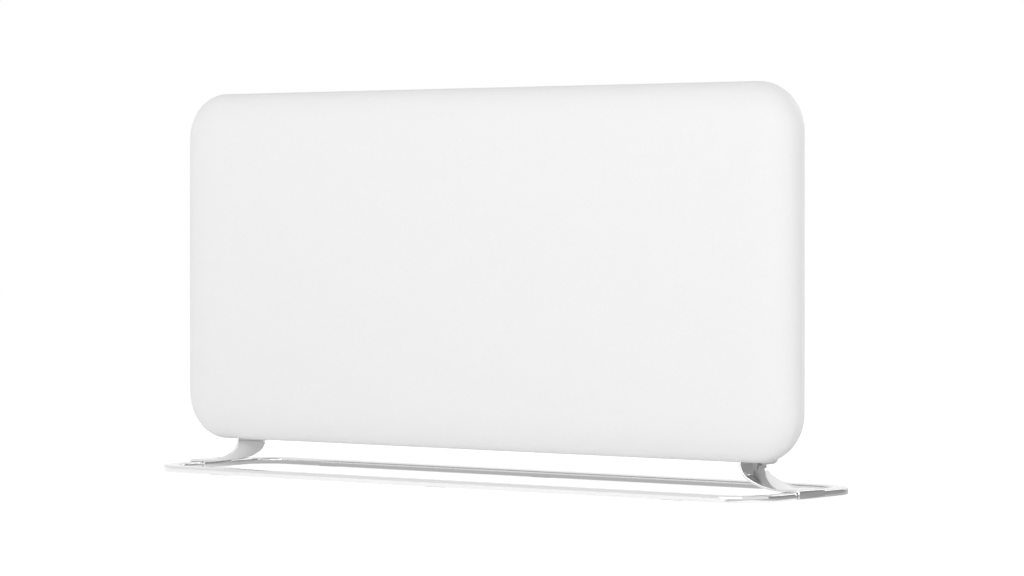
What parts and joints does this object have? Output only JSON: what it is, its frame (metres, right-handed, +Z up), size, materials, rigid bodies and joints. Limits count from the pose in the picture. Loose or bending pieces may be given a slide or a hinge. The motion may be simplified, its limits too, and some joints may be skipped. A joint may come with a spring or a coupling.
{
  "type": "panel convector heater",
  "caption": "Pillow-shaped white panel convector heater on bent strip-steel legs that clasp a rounded floor loop, with a rear control tray and slotted air grilles.",
  "frame": {"origin": "on the floor, under the middle of the floor loop", "axes": "+X to the right of someone who faces the heater, the smooth front faces -Y, +Z up"},
  "size_m": [0.8932, 0.2214, 0.46],
  "materials": {
    "shell_paint": "fine textured powder coat, matt white",
    "casing_paint": "powder coat, matt white",
    "loop_steel": "polished stainless bar",
    "block_moulding": "fine matt",
    "strip_steel": "polished stainless strip, bent",
    "galvanised": "zinc coated",
    "fastener_steel": "zinc plated",
    "pad_rubber": "matt",
    "tray_moulding": "fine grained",
    "knob_moulding": "satin",
    "switch_moulding": "semi gloss",
    "rocker_moulding": "gloss",
    "lens": "clear amber",
    "fin_aluminium": "extruded, matt",
    "rod_steel": "heat tinted sheath",
    "ceramic": "unglazed steatite",
    "duct_aluminium": "bright rolled sheet",
    "terminal_moulding": "natural nylon",
    "gland_moulding": "matt nylon",
    "brass": "machined"
  },
  "bodies": {
    "heater": {"front_shell": "shell_paint", "rear_casing": "casing_paint", "outlet_grille": "tray_moulding", "inlet_grille": "tray_moulding", "floor_loop": "loop_steel", "floor_pads": "pad_rubber", "leg_right": "strip_steel", "leg_left": "strip_steel", "clasp_jaws": "strip_steel", "leg_blocks": "block_moulding", "leg_brackets": "galvanised", "clamp_screws": "fastener_steel", "control_housing": "tray_moulding", "thermostat_body": "terminal_moulding", "heat_switch_1": "switch_moulding", "heat_switch_2": "switch_moulding", "pilot_lens": "lens", "heat_duct": "duct_aluminium", "element_fins": "fin_aluminium", "element_rod": "rod_steel", "element_insulators": "ceramic", "element_brackets": "galvanised", "cable_gland": "gland_moulding", "terminal_block": "terminal_moulding", "thermal_cutout": "switch_moulding", "tilt_switch_housing": "terminal_moulding"},
    "knob": {"thermostat_knob": "knob_moulding", "thermostat_spindle": "brass"},
    "rocker_1": {"heat_rocker_1": "rocker_moulding"},
    "rocker_2": {"heat_rocker_2": "rocker_moulding"},
    "tilt_pendulum": {"tilt_switch_pendulum": "brass"}
  },
  "joints": [
    {"name": "knob_turn", "type": "hinge", "parent": "heater", "child": "knob", "pos_m": [0.34, 0.0198, 0.338], "axis": [0, -1, 0], "range_deg": [0, 270]},
    {"name": "rocker_1_tip", "type": "hinge", "parent": "heater", "child": "rocker_1", "pos_m": [0.292, 0.016, 0.338], "axis": [1, 0, 0], "range_deg": [0, 18]},
    {"name": "rocker_2_tip", "type": "hinge", "parent": "heater", "child": "rocker_2", "pos_m": [0.266, 0.016, 0.338], "axis": [1, 0, 0], "range_deg": [0, 18]},
    {"name": "tilt_swing", "type": "hinge", "parent": "heater", "child": "tilt_pendulum", "pos_m": [0.384, 0.012, 0.1605], "axis": [1, 0, 0], "range_deg": [-25, 25]}
  ]
}
